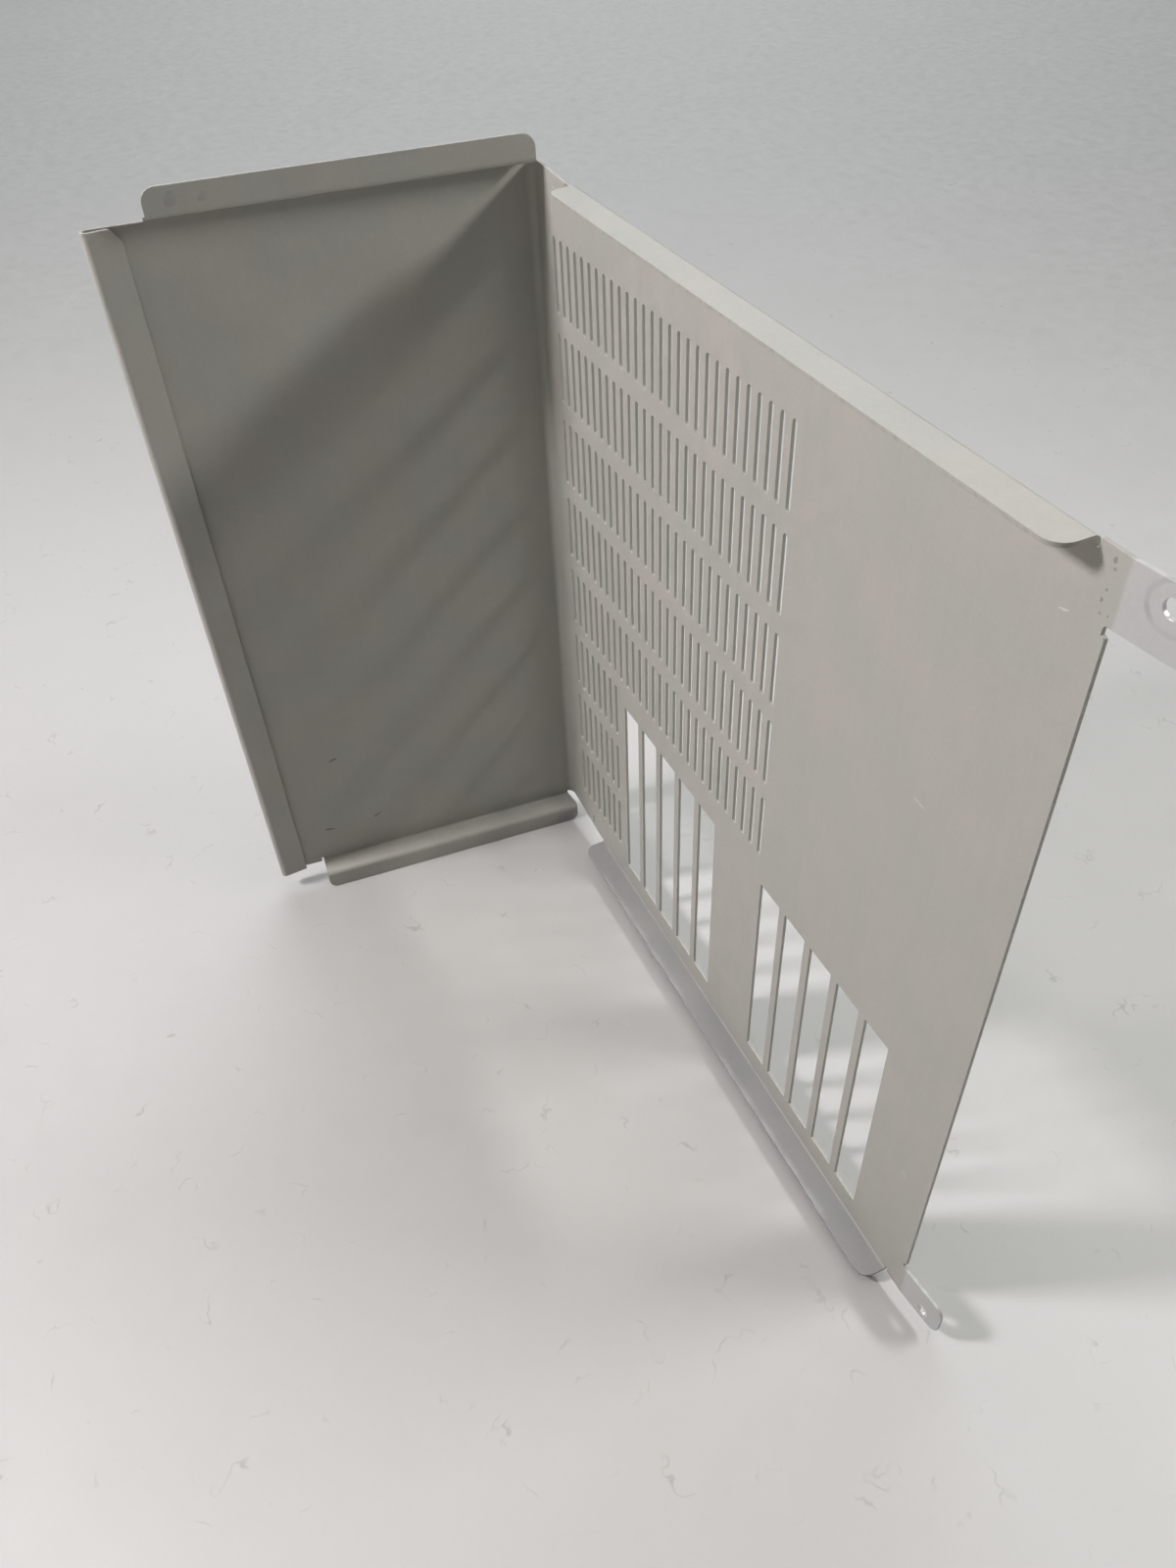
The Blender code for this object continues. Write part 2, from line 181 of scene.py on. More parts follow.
class Fold:
    """Carries the flat blank round its bends, from a start point on the sheet's middle."""

    def __init__(self, start, along, across, out, segments=()):
        self.start = CORNER + start
        self.along = along
        self.across = across
        self.out = out
        self.segments = list(segments)
        self.mirrored = along.cross(across).dot(out) < 0.0

    def creases(self):
        """Every t at which a rolled face is split."""
        found = []
        begin = 0.0
        for length, angle in self.segments:
            if angle:
                steps = max(2, math.ceil(abs(angle) / ARC_STEP))
                found += [begin + length * i / steps for i in range(steps + 1)]
            begin += length
        return found

    def section(self, t):
        """Place across the blank, place outwards and heading, at t."""
        across = 0.0
        outward = 0.0
        heading = 0.0
        left = t
        for length, angle in self.segments:
            step = min(left, length)
            if angle:
                radius = length / angle
                turned = heading + step / radius
                across += radius * (math.sin(turned) - math.sin(heading))
                outward += radius * (math.cos(heading) - math.cos(turned))
                heading = turned
            else:
                across += step * math.cos(heading)
                outward += step * math.sin(heading)
            left -= step
            if left <= 0.0:
                return across, outward, heading
        across += left * math.cos(heading)
        outward += left * math.sin(heading)
        return across, outward, heading

    def place(self, s, t, offset):
        """The point at (s, t) on the blank, offset outwards from the sheet's middle."""
        across, outward, heading = self.section(t)
        across -= offset * math.sin(heading)
        outward += offset * math.cos(heading)
        return self.start + self.along * s + self.across * across + self.out * outward

    def axes(self, t):
        """The directions of t and of the outer face, at t."""
        heading = self.section(t)[2]
        tangent = self.across * math.cos(heading) + self.out * math.sin(heading)
        normal = self.out * math.cos(heading) - self.across * math.sin(heading)
        return tangent, normal


def fold_on_vent(across, height, segments=()):
    return Fold(VENT_OUT * HALF + UP * height, ALONG_VENT, across, VENT_OUT, segments)


def fold_on_wing(across, height, segments=()):
    return Fold(WING_OUT * HALF + UP * height, ALONG_WING, across, WING_OUT, segments)


# Outlines on the flat blank --------

def rounded(corners):
    """A closed outline from (s, t, radius) corners, with true arcs where radius > 0."""
    points = []
    count = len(corners)
    for i, (s, t, radius) in enumerate(corners):
        here = Vector((s, t))
        if radius <= 0.0:
            points.append(here)
            continue
        before = (Vector(corners[i - 1][:2]) - here).normalized()
        after = (Vector(corners[(i + 1) % count][:2]) - here).normalized()
        half = before.angle(after) / 2.0
        centre = here + (before + after).normalized() * (radius / math.sin(half))
        first = here + before * (radius / math.tan(half)) - centre
        last = here + after * (radius / math.tan(half)) - centre
        sweep = first.angle_signed(last)
        steps = max(3, math.ceil(abs(sweep) / (2.0 * ARC_STEP)))
        for k in range(steps + 1):
            turn = -sweep * k / steps
            cosine = math.cos(turn)
            sine = math.sin(turn)
            points.append(centre + Vector((first.x * cosine - first.y * sine,
                                           first.x * sine + first.y * cosine)))
    return points


def obround(s, t, width, length, steps=8):
    """A slot with round ends, its length along t."""
    radius = width / 2.0
    reach = length / 2.0 - radius
    points = []
    for side, first in ((1.0, 0.0), (-1.0, math.pi)):
        for k in range(steps + 1):
            turn = first + math.pi * k / steps
            points.append(Vector((s + radius * math.cos(turn),
                                  t + side * reach + radius * math.sin(turn))))
    return points


def circle(s, t, radius, steps=40):
    turns = [2.0 * math.pi * k / steps for k in range(steps)]
    return [Vector((s + radius * math.cos(a), t + radius * math.sin(a))) for a in turns]


def area(loop):
    """The area inside a loop, negative if it runs clockwise."""
    pairs = zip(loop, loop[1:] + loop[:1])
    return sum(a.x * b.y - b.x * a.y for a, b in pairs) / 2.0


def turned(loop, wanted):
    """The loop, run counterclockwise (wanted > 0) or clockwise."""
    return loop if area(loop) * wanted > 0.0 else loop[::-1]


def on_segment(point, a, b):
    run = b - a
    share = (point - a).dot(run) / run.length_squared
    return -SAME < share < 1.0 + SAME and (a + run * share - point).length < SAME


def inset(loop, cut):
    """Each corner moved into the material by EDGE_ROUND from its cut edges only."""
    moved = []
    count = len(loop)
    for i, here in enumerate(loop):
        before = (here - loop[i - 1]).normalized()
        after = (loop[(i + 1) % count] - here).normalized()
        left_before = Vector((-before.y, before.x))
        left_after = Vector((-after.y, after.x))
        deep_before = EDGE_ROUND if cut[i - 1] else 0.0
        deep_after = EDGE_ROUND if cut[i] else 0.0
        cross = before.x * after.y - before.y * after.x
        if abs(cross) < STRAIGHT:
            moved.append(here + left_after * max(deep_before, deep_after))
            continue
        a = here + left_before * deep_before
        b = here + left_after * deep_after
        reach = ((b - a).x * after.y - (b - a).y * after.x) / cross
        moved.append(a + before * reach)
    return moved


def knots(low, high):
    """Regular stops along a run, so that long edges don't make long thin triangles."""
    first = math.ceil((low + MM) / GRID)
    last = math.floor((high - MM) / GRID)
    return [k * GRID for k in range(first, last + 1)]


def split_edges(loop, inner, cut, creases):
    """Splits every edge where it crosses a crease, and long edges at regular stops."""
    outer_points, inner_points, flags = [], [], []
    count = len(loop)
    for i in range(count):
        j = (i + 1) % count
        here, there, near, far = loop[i], loop[j], inner[i], inner[j]
        axis = 1 if abs(there.y - here.y) > abs(there.x - here.x) else 0
        ends = sorted((here[axis], there[axis]))
        marks = {0.0: 0.0}
        for way, values in ((1, creases), (axis, knots(*ends))):
            for value in values:
                low = max(min(here[way], there[way]), min(near[way], far[way])) + SAME
                high = min(max(here[way], there[way]), max(near[way], far[way])) - SAME
                if low < value < high:
                    share = (value - here[way]) / (there[way] - here[way])
                    marks[share] = (value - near[way]) / (far[way] - near[way])
        for share in sorted(marks):
            outer_points.append(here.lerp(there, share))
            inner_points.append(near.lerp(far, marks[share]))
            flags.append(cut[i])
    return outer_points, inner_points, flags


def crossings(points, loops):
    """For each point, the number of outline edges that a ray from it crosses."""
    total = np.zeros(len(points), dtype=int)
    for loop in loops:
        a = np.array([tuple(p) for p in loop])
        b = np.roll(a, -1, axis=0)
        for (x0, y0), (x1, y1) in zip(a, b):
            if y0 == y1:
                continue
            level = (points[:, 1] >= min(y0, y1)) & (points[:, 1] < max(y0, y1))
            cut = x0 + (points[:, 1] - y0) * (x1 - x0) / (y1 - y0)
            total += (level & (cut > points[:, 0])).astype(int)
    return total


def grid_points(loops, creases):
    """Points of a regular grid that are well inside the material and off the bends."""
    corners = np.array([tuple(p) for p in loops[0]])
    low = corners.min(axis=0)
    high = corners.max(axis=0)
    lines = [np.arange(math.ceil(a / GRID), b / GRID) * GRID for a, b in zip(low, high)]
    points = np.array([(s, t) for s in lines[0] for t in lines[1]]).reshape(-1, 2)
    if not len(points):
        return []
    keep = crossings(points, loops) % 2 == 1
    for loop in loops:
        a = np.array([tuple(p) for p in loop])
        run = np.roll(a, -1, axis=0) - a
        for start, way in zip(a, run):
            length = max(way @ way, SAME ** 2)
            share = np.clip(((points - start) @ way) / length, 0.0, 1.0)
            gap = np.linalg.norm(points - start - share[:, None] * way, axis=1)
            keep &= gap > CLEARANCE
    for crease in creases:
        keep &= np.abs(points[:, 1] - crease) > CLEARANCE
    return [Vector(p) for p in points[keep]]


def crease_edges(flat, insets, creases):
    """Edges across the material along every crease; their stops join the flat points."""
    known = list(enumerate(flat))
    edges = []
    for crease in creases:
        row = sorted((p.x, i) for i, p in known if abs(p.y - crease) < SAME)
        for (a, first), (b, last) in zip(row, row[1:]):
            middle = np.array([((a + b) / 2.0, crease)])
            if b - a < MM or crossings(middle, insets)[0] % 2 == 0:
                continue
            stops = knots(a, b)
            chain = [first, *range(len(flat), len(flat) + len(stops)), last]
            flat += [Vector((stop, crease)) for stop in stops]
            edges += list(zip(chain, chain[1:]))
    return edges


def enclosed(faces, fence):
    """The faces inside the fence: every step across one of its edges goes in or out."""
    beside = {}
    for number, face in enumerate(faces):
        for pair in zip(face, face[1:] + face[:1]):
            beside.setdefault(frozenset(pair), []).append(number)
    inside = {}
    for side, numbers in beside.items():
        if len(numbers) == 1:
            inside[numbers[0]] = side in fence
    waiting = list(inside)
    while waiting:
        number = waiting.pop()
        face = faces[number]
        for pair in zip(face, face[1:] + face[:1]):
            side = frozenset(pair)
            for other in beside[side]:
                if other not in inside:
                    inside[other] = inside[number] ^ (side in fence)
                    waiting.append(other)
    return [face for number, face in enumerate(faces) if inside[number]]


# Strips of sheet --------

def profile():
    """The rings of a cut edge, outer face to inner: share of the inset, offset and turn."""
    rings = []
    for k in range(EDGE_STEPS + 1):
        turn = RIGHT_ANGLE * k / EDGE_STEPS
        drop = EDGE_ROUND * (1.0 - math.cos(turn))
        rings.append((1.0 - math.sin(turn), HALF - drop, turn))
    return rings + [(share, -offset, math.pi - turn) for share, offset, turn in rings[::-1]]


RINGS = profile()


class Strip:
    """One closed solid of the sheet between its bend lines, with its own corner normals."""

    def __init__(self, name, fold, outline, holes=(), seams=(), bare_holes=False):
        self.name = name
        self.fold = fold
        self.points = []
        self.faces = []
        self.normals = []
        self.edge_marks = []
        self.bare_marks = []
        self.known = {}
        self.bare_holes = bare_holes
        creases = fold.creases()
        self.loops = []
        for k, loop in enumerate([outline] + list(holes)):
            loop = turned(loop, 1.0 if k == 0 else -1.0)
            ends = zip(loop, loop[1:] + loop[:1])
            cut = [not any(on_segment((a + b) / 2.0, *seam) for seam in seams) for a, b in ends]
            self.loops.append(split_edges(loop, inset(loop, cut), cut, creases))
        self.fill(creases)
        for k in range(len(self.loops)):
            self.rim(k)

    def vertex(self, key, s, t, offset, edge=0.0, bare=0.0):
        """A point's number; the point is made when its key is first asked for."""
        if key not in self.known:
            self.known[key] = len(self.points)
            self.points.append(self.fold.place(s, t, offset))
            self.edge_marks.append(edge)
            self.bare_marks.append(bare)
        return self.known[key]

    def ring_vertex(self, k, j, ring):
        """The point beside corner j of loop k, on one ring of its cut edge."""
        outer_points, inner_points, _ = self.loops[k]
        j %= len(outer_points)
        share, offset, _ = RINGS[ring]
        place = outer_points[j].lerp(inner_points[j], share)
        middle = 0 < ring < len(RINGS) - 1
        edge = 1.0 if middle and k == 0 else 0.0
        bare = 1.0 if middle and k > 0 and self.bare_holes else 0.0
        return self.vertex((k, j, ring), place.x, place.y, offset, edge, bare)

    def face(self, corners, normals):
        """Keeps a face, its corners run so that it looks outwards, and drops empty ones."""
        kept = [i for i in range(len(corners)) if corners[i] != corners[i - 1]]
        if self.fold.mirrored:
            kept.reverse()
        if len(kept) > 2:
            self.faces.append([corners[i] for i in kept])
            self.normals += [normals[i] for i in kept]

    def fill(self, creases):
        """Both flat or rolled faces, as triangles between the inset loops."""
        insets = [loop[1] for loop in self.loops]
        flat = [point for loop in insets for point in loop]
        keys = [(k, j) for k, loop in enumerate(insets) for j in range(len(loop))]
        sides = []
        for loop in insets:
            base = len(sides)
            size = len(loop)
            sides += [(base + i, base + (i + 1) % size) for i in range(size)]
        edges = sides + crease_edges(flat, insets, creases)
        flat += grid_points(insets, creases)
        coords, _, faces, origins, *_ = delaunay_2d_cdt(flat, edges, [], 0, MERGE)
        found = {i: new for new, olds in enumerate(origins) for i in olds}
        fence = {frozenset((found[a], found[b])) for a, b in sides}
        for face in enclosed(faces, fence):
            self.both_faces(face, coords, origins, keys)

    def both_faces(self, face, coords, origins, keys):
        """One flat triangle, on the outer face and, run the other way, on the inner face."""
        for ring, side in ((0, 1.0), (len(RINGS) - 1, -1.0)):
            corners, normals = [], []
            for i in face if side > 0.0 else reversed(face):
                place = coords[i]
                origin = origins[i][0] if origins[i] else len(keys)
                if origin < len(keys):
                    corners.append(self.ring_vertex(*keys[origin], ring))
                else:
                    corners.append(self.vertex((i, side), place.x, place.y, side * HALF))
                normals.append(self.fold.axes(place.y)[1] * side)
            self.face(corners, normals)

    def edge_normal(self, run, t, turn):
        """The direction that a cut edge faces, at a turn from the outer face's direction."""
        tangent, normal = self.fold.axes(t)
        outward = self.fold.along * run.y - tangent * run.x
        return normal * math.cos(turn) + outward * math.sin(turn)

    def rim(self, k):
        """The softened cut edges of one loop, and flat caps on its seams."""
        outer_points, _, cut = self.loops[k]
        count = len(outer_points)
        runs = [(outer_points[(j + 1) % count] - outer_points[j]).normalized()
                for j in range(count)]
        for j in range(count):
            if not cut[j]:
                continue
            here = self.shared_run(runs, cut, j, (j - 1) % count)
            there = self.shared_run(runs, cut, j, (j + 1) % count)
            t_here = outer_points[j].y
            t_there = outer_points[(j + 1) % count].y
            for ring in range(len(RINGS) - 1):
                first, second = RINGS[ring][2], RINGS[ring + 1][2]
                corners = [self.ring_vertex(k, j, ring), self.ring_vertex(k, j, ring + 1),
                           self.ring_vertex(k, j + 1, ring + 1), self.ring_vertex(k, j + 1, ring)]
                normals = [self.edge_normal(here, t_here, first),
                           self.edge_normal(here, t_here, second),
                           self.edge_normal(there, t_there, second),
                           self.edge_normal(there, t_there, first)]
                self.face(corners, normals)
        starts = [j for j in range(count) if not cut[j] and cut[j - 1]]
        for start in starts:
            size = 1
            while not cut[(start + size) % count]:
                size += 1
            self.cap(k, start, start + size, runs[start])

    def shared_run(self, runs, cut, own, other):
        """A cut edge's direction at a corner: shared round an arc, its own at a sharp turn."""
        if cut[other] and runs[own].angle(runs[other], 0.0) < ROUND_TURN:
            return (runs[own] + runs[other]).normalized()
        return runs[own]

    def cap(self, k, first, last, run):
        """A flat face across the sheet where the neighbouring strip begins."""
        bottom = len(RINGS) - 1
        corners = [self.ring_vertex(k, first, ring) for ring in range(bottom + 1)]
        corners += [self.ring_vertex(k, j, bottom) for j in range(first + 1, last + 1)]
        corners += [self.ring_vertex(k, last, ring) for ring in range(bottom - 1, -1, -1)]
        corners += [self.ring_vertex(k, j, 0) for j in range(last - 1, first, -1)]
        t = self.loops[k][0][first].y
        self.face(corners, [self.edge_normal(run, t, RIGHT_ANGLE)] * len(corners))

    def build(self, material):
        mesh = bpy.data.meshes.new(self.name)
        mesh.from_pydata([tuple(p) for p in self.points], [], self.faces)
        mesh.shade_smooth()
        mesh.normals_split_custom_set([tuple(n) for n in self.normals])
        for label, values in (("cut_edge", self.edge_marks), ("bare_hole", self.bare_marks)):
            mark = mesh.attributes.new(label, "FLOAT", "POINT")
            mark.data.foreach_set("value", values)
        mesh.materials.append(material)
        piece = bpy.data.objects.new(self.name, mesh)
        bpy.context.scene.collection.objects.link(piece)
        return piece


# The cover's strips --------

VENT_LOW = VENT_BASE + TIGHT_RADIUS
VENT_HIGH = VENT_CROWN - TIGHT_RADIUS
WING_LOW = WING_BASE + TIGHT_RADIUS
WING_HIGH = WING_CROWN - TIGHT_RADIUS
CUT_LOW = VENT_BASE + SHEET
CUT_HIGH = VENT_CROWN - SHEET
TAB_LOW_END = TAB_BOTTOM + TAB_HEIGHT
TAB_HIGH_END = TAB_TOP - TAB_HEIGHT
TAB_START = VENT_WIDTH + TAB_SEAM


def slot_loops():
    loops = []
    for row in range(FULL_ROWS + SHORT_ROWS):
        columns = SLOT_COLUMNS if row < FULL_ROWS else SHORT_COLUMNS
        for column in range(columns):
            place = SLOT_FIRST + column * SLOT_PITCH
            loops.append(obround(place, ROW_TOP - row * ROW_PITCH, SLOT_WIDTH, SLOT_LENGTH))
    loops.append(obround(*PILOT_SLOT))
    return loops


def window_loops():
    loops = []
    for start in WINDOW_STARTS:
        for i in range(WINDOW_OPENINGS):
            left = start + i * (WINDOW_OPENING + WINDOW_BAR)
            right = left + WINDOW_OPENING
            corners = [(left, WINDOW_LOW), (right, WINDOW_LOW),
                       (right, WINDOW_HIGH), (left, WINDOW_HIGH)]
            loops.append(rounded([(s, t, WINDOW_CORNER) for s, t in corners]))
    return loops


def flange_side(edge, cut, deep, far):
    """The vented field's outline along one flange, with a bend relief at each end of it.

    edge is the bend line's height, cut the sheet's end by the corner, deep the reliefs' floor
    and far the sheet's end by the tab.
    """
    return [
        (FLANGE_NEAR - NOTCH_WIDTH, cut, 0.0),
        (FLANGE_NEAR - NOTCH_WIDTH, deep, 0.0),
        (FLANGE_NEAR, deep, 0.0),
        (FLANGE_NEAR, edge, 0.0),
        (FLANGE_FAR, edge, 0.0),
        (FLANGE_FAR, deep, 0.0),
        (FLANGE_FAR + NOTCH_WIDTH, deep, 0.0),
        (FLANGE_FAR + NOTCH_WIDTH, far, 0.0),
    ]


def vent_panel():
    low = flange_side(VENT_LOW, CUT_LOW, VENT_LOW + NOTCH_DEPTH, TAB_BOTTOM)
    high = flange_side(VENT_HIGH, CUT_HIGH, VENT_HIGH - NOTCH_DEPTH, TAB_TOP)
    free_edge = [
        (TAB_START, TAB_BOTTOM, 0.0),
        (TAB_START, TAB_LOW_END, 0.0),
        (VENT_WIDTH - SHEET, TAB_LOW_END, RELIEF_RADIUS),
        (VENT_WIDTH - SHEET, TAB_LOW_END + RELIEF, RELIEF_CREASE),
        (VENT_WIDTH, TAB_LOW_END + RELIEF, RELIEF_RADIUS),
        (VENT_WIDTH, TAB_HIGH_END - RELIEF, RELIEF_RADIUS),
        (VENT_WIDTH - SHEET, TAB_HIGH_END - RELIEF, RELIEF_CREASE),
        (VENT_WIDTH - SHEET, TAB_HIGH_END, RELIEF_RADIUS),
        (TAB_START, TAB_HIGH_END, 0.0),
        (TAB_START, TAB_TOP, 0.0),
    ]
    corners = [(CORNER_SETBACK, CORNER_HIGH, 0.0), (CORNER_SETBACK, CORNER_LOW, 0.0)]
    corners += low + free_edge + high[::-1]
    seams = [
        (Vector((CORNER_SETBACK, CORNER_LOW)), Vector((CORNER_SETBACK, CORNER_HIGH))),
        (Vector((FLANGE_NEAR, VENT_LOW)), Vector((FLANGE_FAR, VENT_LOW))),
        (Vector((FLANGE_NEAR, VENT_HIGH)), Vector((FLANGE_FAR, VENT_HIGH))),
        (Vector((TAB_START, TAB_BOTTOM)), Vector((TAB_START, TAB_LOW_END))),
        (Vector((TAB_START, TAB_HIGH_END)), Vector((TAB_START, TAB_TOP))),
    ]
    holes = slot_loops() + window_loops()
    return Strip("vent_panel_sheet", fold_on_vent(UP, 0.0), rounded(corners), holes, seams)


def base_seam(first, last, t=0.0):
    """The bend line at t that a strip shares with its neighbour, from one s to another."""
    return [(Vector((first, t)), Vector((last, t)))]


def vent_flange(name, across, height):
    turn = bend(TIGHT_RADIUS, -RIGHT_ANGLE)
    end = turn[0] + FLANGE_DEPTH - HALF - TIGHT_RADIUS
    outline = rounded([
        (FLANGE_NEAR, 0.0, 0.0),
        (FLANGE_NEAR, end, FLANGE_RADIUS),
        (FLANGE_FAR, end, FLANGE_RADIUS),
        (FLANGE_FAR, 0.0, 0.0),
    ])
    fold = fold_on_vent(across, height, [turn])
    return Strip(name, fold, outline, seams=base_seam(FLANGE_NEAR, FLANGE_FAR))


def tab(name, low, hole_height):
    segments = [straight(TAB_ROOT - TAB_SEAM), bend(TAB_CREASE_RADIUS, TAB_LEAN)]
    start = VENT_OUT * HALF + ALONG_VENT * TAB_START
    fold = Fold(start, UP, ALONG_VENT, VENT_OUT, segments)
    end = TAB_LENGTH - TAB_SEAM
    outline = rounded([
        (low, 0.0, 0.0),
        (low, end, TAB_RADIUS),
        (low + TAB_HEIGHT, end, TAB_RADIUS),
        (low + TAB_HEIGHT, 0.0, 0.0),
    ])
    hole = circle(hole_height, HOLE_ALONG - TAB_SEAM, HOLE_RADIUS)
    return Strip(name, fold, outline, [hole], base_seam(low, low + TAB_HEIGHT), bare_holes=True)


def corner_bend():
    turn = bend(CORNER_RADIUS, CORNER_ANGLE - math.pi)
    start = VENT_OUT * HALF + ALONG_VENT * CORNER_SETBACK
    fold = Fold(start, UP, -ALONG_VENT, VENT_OUT, [turn])
    low = WING_LOW + NOTCH_DEPTH
    high = WING_HIGH - NOTCH_DEPTH
    outline = rounded([
        (CORNER_LOW, 0.0, 0.0),
        (CORNER_HIGH, 0.0, 0.0),
        (high, turn[0], 0.0),
        (low, turn[0], 0.0),
    ])
    seams = base_seam(CORNER_LOW, CORNER_HIGH) + base_seam(low, high, turn[0])
    return Strip("corner_bend_sheet", fold, outline, seams=seams)


def ledge_side(edge, deep, side):
    """The wing's outline along one ledge, with its bend reliefs.

    edge is the bend line's height, deep the reliefs' floor and side the sheet's end by the hem.
    """
    return [
        (CORNER_SETBACK, deep, 0.0),
        (LEDGE_NEAR, deep, 0.0),
        (LEDGE_NEAR, edge, 0.0),
        (LEDGE_FAR, edge, 0.0),
        (LEDGE_FAR, deep, 0.0),
        (LEDGE_FAR + NOTCH_WIDTH, deep, 0.0),
        (LEDGE_FAR + NOTCH_WIDTH, side, 0.0),
        (HEM_START, side, 0.0),
    ]


def wing_panel():
    low = WING_LOW + NOTCH_DEPTH
    high = WING_HIGH - NOTCH_DEPTH
    corners = ledge_side(WING_LOW, low, WING_EDGE_LOW)
    corners += ledge_side(WING_HIGH, high, WING_EDGE_HIGH)[::-1]
    seams = [
        (Vector((CORNER_SETBACK, low)), Vector((CORNER_SETBACK, high))),
        (Vector((LEDGE_NEAR, WING_LOW)), Vector((LEDGE_FAR, WING_LOW))),
        (Vector((LEDGE_NEAR, WING_HIGH)), Vector((LEDGE_FAR, WING_HIGH))),
        (Vector((HEM_START, WING_EDGE_LOW)), Vector((HEM_START, WING_EDGE_HIGH))),
    ]
    return Strip("wing_panel_sheet", fold_on_wing(UP, 0.0), rounded(corners), seams=seams)


def wing_edge(prefix, across, height, lip_radius):
    """A ledge turned inwards from the wing, and the upright lip on the ledge's free side."""
    turn = bend(TIGHT_RADIUS, -RIGHT_ANGLE)
    back = bend(TIGHT_RADIUS, RIGHT_ANGLE)
    level = straight(LEDGE_DEPTH - 2.0 * TIGHT_RADIUS)
    fold = fold_on_wing(across, height, [turn, level, back])
    joint = turn[0] + level[0]
    end = joint + back[0] + LIP_HEIGHT - HALF - TIGHT_RADIUS
    ledge = rounded([
        (LEDGE_NEAR, 0.0, 0.0),
        (LIP_NEAR, joint, 0.0),
        (LEDGE_FAR, joint, 0.0),
        (LEDGE_FAR, 0.0, 0.0),
    ])
    lip = rounded([
        (LIP_NEAR, joint, 0.0),
        (LIP_NEAR, end, lip_radius),
        (LEDGE_FAR, end, lip_radius),
        (LEDGE_FAR, joint, 0.0),
    ])
    to_lip = base_seam(LIP_NEAR, LEDGE_FAR, joint)
    to_wing = base_seam(LEDGE_NEAR, LEDGE_FAR)
    return [Strip(prefix + "_ledge_sheet", fold, ledge, seams=to_wing + to_lip),
            Strip(prefix + "_lip_sheet", fold, lip, seams=to_lip)]


def wing_hem():
    roll = bend(HEM_RADIUS, -(math.pi + HEM_CLOSING))
    start = WING_OUT * HALF + ALONG_WING * HEM_START
    fold = Fold(start, UP, ALONG_WING, WING_OUT, [roll])
    reach = fold.section(roll[0])[0] + HEM_WIDTH - HEM_RADIUS - HALF
    end = roll[0] + reach / math.cos(HEM_CLOSING)
    outline = rounded([
        (WING_EDGE_LOW, 0.0, 0.0),
        (WING_EDGE_HIGH, 0.0, 0.0),
        (WING_EDGE_HIGH, end - HEM_CHAMFER_ACROSS, HEM_CORNER_RADIUS),
        (WING_EDGE_HIGH - HEM_CHAMFER_ALONG, end, HEM_CORNER_RADIUS),
        (WING_EDGE_LOW, end, 0.0),
    ])
    seams = base_seam(WING_EDGE_LOW, WING_EDGE_HIGH)
    return Strip("wing_hem_sheet", fold, outline, seams=seams)


def all_strips():
    strips = [
        vent_panel(),
        vent_flange("vent_top_flange_sheet", UP, VENT_HIGH),
        vent_flange("vent_bottom_flange_sheet", -UP, VENT_LOW),
        tab("top_tab_sheet", TAB_HIGH_END, TAB_TOP - HOLE_FROM_END),
        tab("bottom_tab_sheet", TAB_BOTTOM, TAB_BOTTOM + HOLE_FROM_END),
        corner_bend(),
        wing_panel(),
        wing_hem(),
    ]
    strips += wing_edge("wing_top", UP, WING_HIGH, LIP_RADIUS_HIGH)
    strips += wing_edge("wing_bottom", -UP, WING_LOW, LIP_RADIUS_LOW)
    return strips


# Materials --------
# Lengths in this part are millimetres, measured from CORNER.

PAINT = (0.39, 0.385, 0.352, 1.0)
TAB_PAINTED_SHEEN = (0.475, 0.482, 0.472, 1.0)    # painted sheen: the tabs paler and cooler past their crease, a guess
FOOT_PAINTED_SHADE = (0.322, 0.322, 0.318, 1.0)   # painted shade: the bottom flange darker and greyer where the vented side shades it, a guess
COOL_TINT = (0.99, 1.004, 1.0, 1.0)       # factors on the paint, patch by patch
WARM_TINT = (1.012, 0.997, 0.99, 1.0)
GRIME = (0.10, 0.095, 0.08, 1.0)
SCUFF = (0.24, 0.225, 0.21, 1.0)
SCRATCH = (0.62, 0.61, 0.58, 1.0)
BARE_STEEL = (0.66, 0.65, 0.63, 1.0)
SMUDGE = (0.27, 0.255, 0.27, 1.0)
FLOOR = (0.495, 0.492, 0.475)
STAIN = (0.22, 0.21, 0.19, 1.0)

# How much of the paint each kind of mark covers, from 0 to 1
SCUFF_COVER = 0.75
SPECK_COVER = 0.6
CHIP_COVER = 0.9
SCRATCH_COVER = 0.8
STAIN_COVER = 0.40
FLOOR_SPECK_COVER = 0.35

BARE_METALLIC = 0.45
BARE_SMOOTHER = 0.16           # taken off the roughness on bare metal
CHIP_ROUGHER = 0.25            # added to it in a chip

# A mark is solid to the first share of its half width and has faded out at the second
MARK_CORE = 0.6
MARK_RIM = 1.25

# Marks, placed to about 5 mm: along the face, height, the same for the mark's other
# end, half its width. Heights are measured from the floor.
VENT_SCRATCHES = (
    (280.0, 300.0, 283.0, 301.0, 0.22),
    (250.0, 220.0, 255.0, 219.0, 0.24),
    (280.0, 70.0, 283.0, 68.5, 0.22),
)
WING_SCUFFS = (
    (120.0, 72.0, 116.0, 73.0, 0.50),
    (130.0, 30.0, 125.0, 29.0, 0.50),
    (105.0, 30.0, 101.0, 32.0, 0.36),
)
LIP_SMUDGES = (
    (126.0, 325.0, 124.0, 328.0, 2.0),
    (116.0, 325.0, 114.0, 327.0, 1.3),
)
FLANGE_CHIPS = ((70.0, 319.5, 69.5, 319.5, 0.45),)
CORNER_CHIPS = ((18.0, 315.0, 18.5, 314.5, 0.45),)
CORNER_DIRT = ((28.0, 318.0, 31.0, 318.5, 0.40),)
